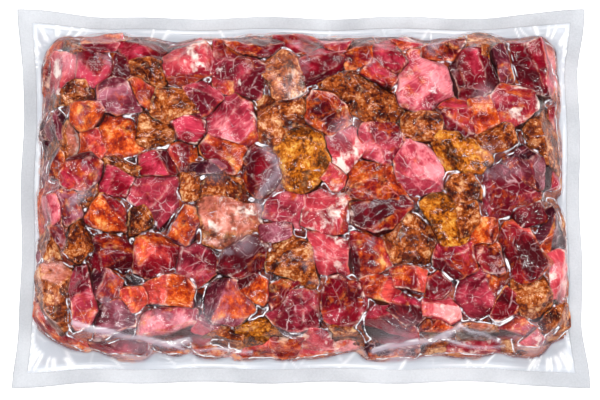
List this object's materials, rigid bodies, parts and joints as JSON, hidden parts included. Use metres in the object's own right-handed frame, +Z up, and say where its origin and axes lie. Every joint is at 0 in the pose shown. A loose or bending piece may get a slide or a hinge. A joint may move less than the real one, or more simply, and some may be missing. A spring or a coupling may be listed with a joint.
{
  "type": "vacuum pack of diced tasso ham",
  "caption": "Clear vacuum-sealed bag drawn tight over spice-rubbed diced ham, with a flat film margin and welded seal all round.",
  "frame": {"origin": "middle of the flat underside, under the middle of the whole pack with its margin", "axes": "+X along the pack's long side, +Y towards the edge that is at the top of the picture, +Z up, out of the side that is shown"},
  "size_m": [0.354, 0.237, 0.0436],
  "materials": {
    "ham_in_film": "marbled dark red and rust brown cured ham dice under glossy clear film"
  },
  "bodies": {
    "root": {"sealed_pack": "ham_in_film"}
  },
  "joints": []
}
